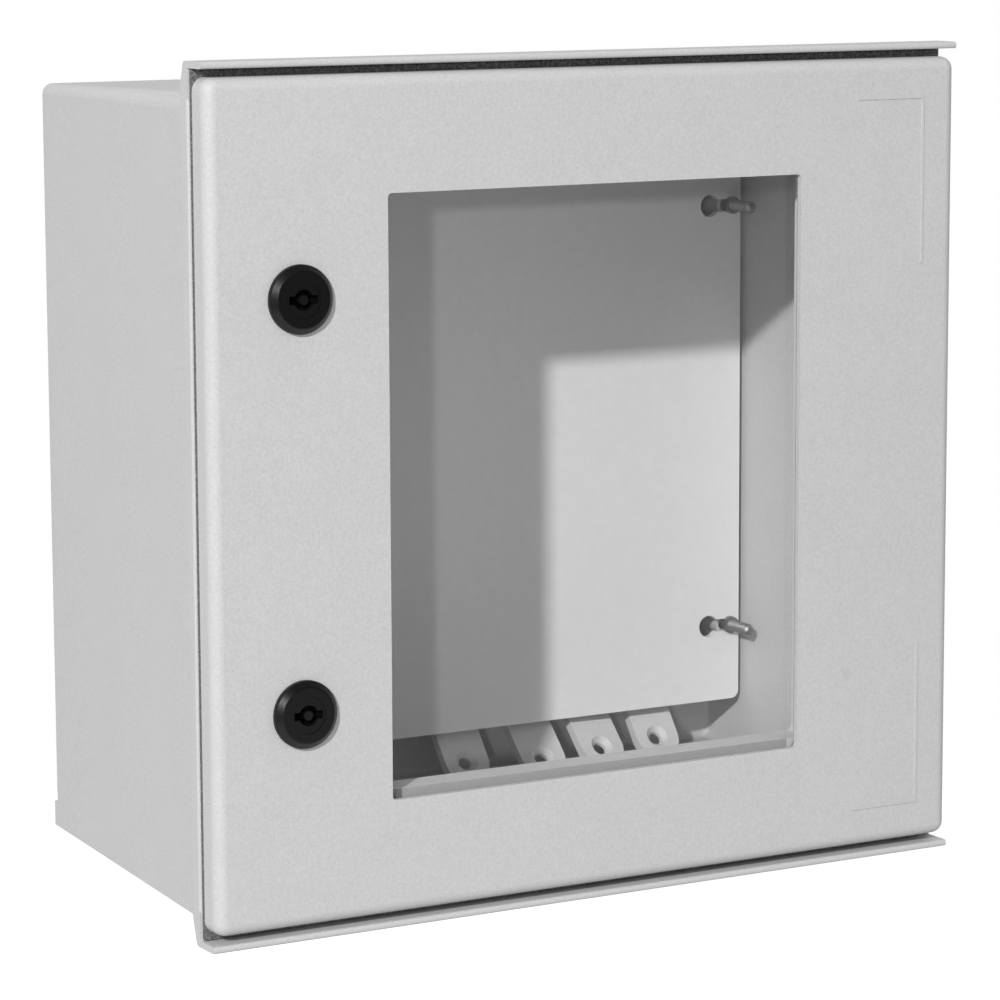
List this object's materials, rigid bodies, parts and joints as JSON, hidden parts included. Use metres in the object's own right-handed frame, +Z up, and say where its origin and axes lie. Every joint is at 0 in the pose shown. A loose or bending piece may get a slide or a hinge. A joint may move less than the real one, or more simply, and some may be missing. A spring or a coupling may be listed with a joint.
{
  "type": "polyester wall enclosure with glazed door",
  "caption": "Moulded polyester wall enclosure with rain lips, a hinged glazed door, quarter-turn locks and an inner mounting plate on pillars.",
  "frame": {"origin": "centre of the flat back, on the wall plane", "axes": "+X to the viewer's right, +Y from the door towards the wall, +Z up"},
  "size_m": [0.405, 0.2098, 0.4],
  "materials": {
    "polyester": "fine-grained moulded glass-fibre polyester, light grey",
    "plate": "smooth pressed polyester sheet, light grey",
    "glazing": "clear polycarbonate sheet",
    "seal": "black foamed seal",
    "lock_black": "black glass-filled polyamide",
    "zinc_steel": "bright zinc-plated steel",
    "stainless": "stainless steel",
    "brass": "nickel-plated turned brass",
    "lug": "light grey moulded polyester"
  },
  "bodies": {
    "body": {"enclosure_body": "polyester", "mounting_plate": "plate", "plate_studs": "zinc_steel", "stud_inserts": "brass", "wall_inserts": "brass", "rim_seal": "seal", "wall_lugs": "lug", "upper_keeper": "stainless", "lower_keeper": "stainless", "keeper_screws": "zinc_steel", "upper_hinge_bracket": "stainless", "lower_hinge_bracket": "stainless", "hinge_bracket_screws": "zinc_steel", "upper_hinge_pin": "stainless", "lower_hinge_pin": "stainless"},
    "door": {"door_panel": "polyester", "door_gasket": "seal", "window_seal": "seal", "window_pane": "glazing", "window_frame": "polyester", "window_frame_screws": "zinc_steel", "upper_lock_housing": "lock_black", "lower_lock_housing": "lock_black", "upper_lock_seal": "seal", "lower_lock_seal": "seal", "upper_lock_nut": "zinc_steel", "lower_lock_nut": "zinc_steel"},
    "upper_lock": {"upper_lock_rotor": "lock_black", "upper_lock_cam": "zinc_steel", "upper_cam_bolt": "zinc_steel"},
    "lower_lock": {"lower_lock_rotor": "lock_black", "lower_lock_cam": "zinc_steel", "lower_cam_bolt": "zinc_steel"}
  },
  "joints": [
    {"name": "door_hinge", "type": "hinge", "parent": "body", "child": "door", "pos_m": [0.19825, -0.196, 0], "axis": [0, 0, 1], "range_deg": [0, 120]},
    {"name": "upper_lock_turn", "type": "hinge", "parent": "door", "child": "upper_lock", "pos_m": [-0.1565, -0.205, 0.094], "axis": [0, 1, 0], "range_deg": [0, 90]},
    {"name": "lower_lock_turn", "type": "hinge", "parent": "door", "child": "lower_lock", "pos_m": [-0.1565, -0.205, -0.094], "axis": [0, 1, 0], "range_deg": [0, 90]}
  ]
}
